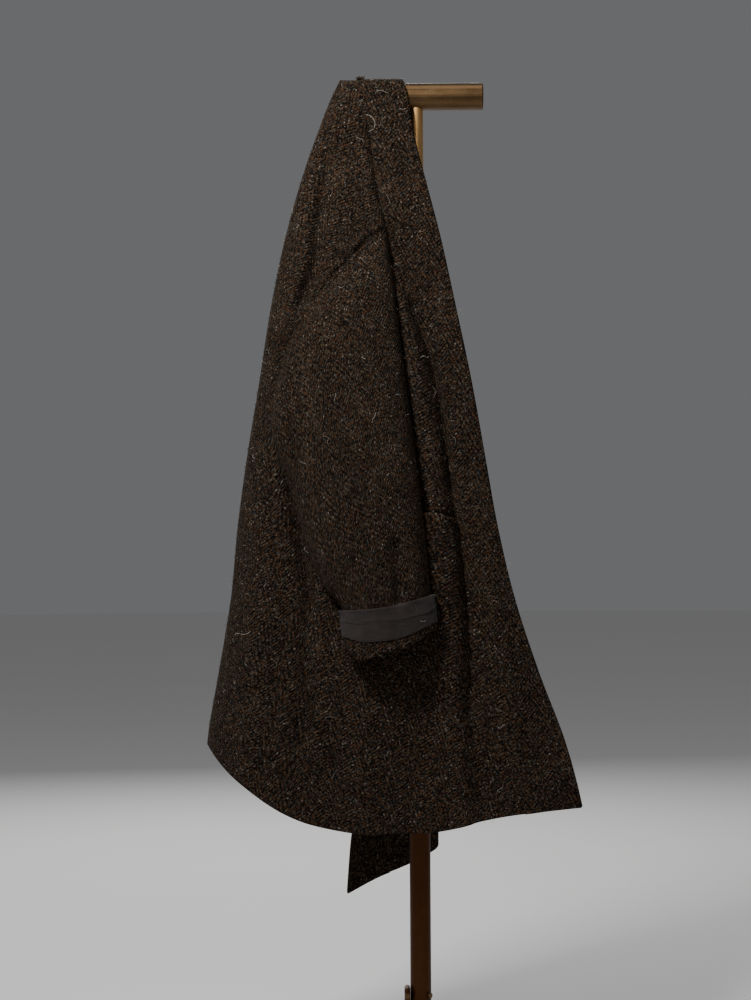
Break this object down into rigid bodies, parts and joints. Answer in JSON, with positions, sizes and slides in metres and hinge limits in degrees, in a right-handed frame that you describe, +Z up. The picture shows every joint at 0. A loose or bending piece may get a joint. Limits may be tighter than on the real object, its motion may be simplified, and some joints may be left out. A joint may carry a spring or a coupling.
{
  "type": "shawl collar coat on a t-bar stand",
  "caption": "Heavy tweed shawl collar coat folded along its back over one arm of a round T-bar display stand, sleeves turned up at the cuffs.",
  "frame": {"origin": "middle of the base plate's underside, on the post's axis", "axes": "+Z up along the post; +X along the bar towards the coat's front edges; the coat's right side faces -Y"},
  "size_m": [0.5171, 0.34, 1.4054],
  "materials": {
    "tweed": "heavy hairy herringbone wool",
    "facing": "plain grey-brown linen",
    "bar_metal": "worn satin brass",
    "post_metal": "worn copper-brown",
    "base_metal": "dark satin"
  },
  "bodies": {
    "root": {"back": "tweed", "shawl_collar": "tweed", "front_right": "tweed", "front_left": "tweed", "pocket_right": "tweed", "pocket_left": "tweed", "sleeve_right": "tweed", "sleeve_left": "tweed", "cuff_right": "tweed", "cuff_left": "tweed", "cuff_facing_right": "facing", "cuff_facing_left": "facing", "bar": "bar_metal", "post_upper": "bar_metal", "post_lower": "post_metal", "base_plate": "base_metal", "base_lug": "base_metal", "lug_bolt": "base_metal", "post_bolt": "base_metal"}
  },
  "joints": []
}
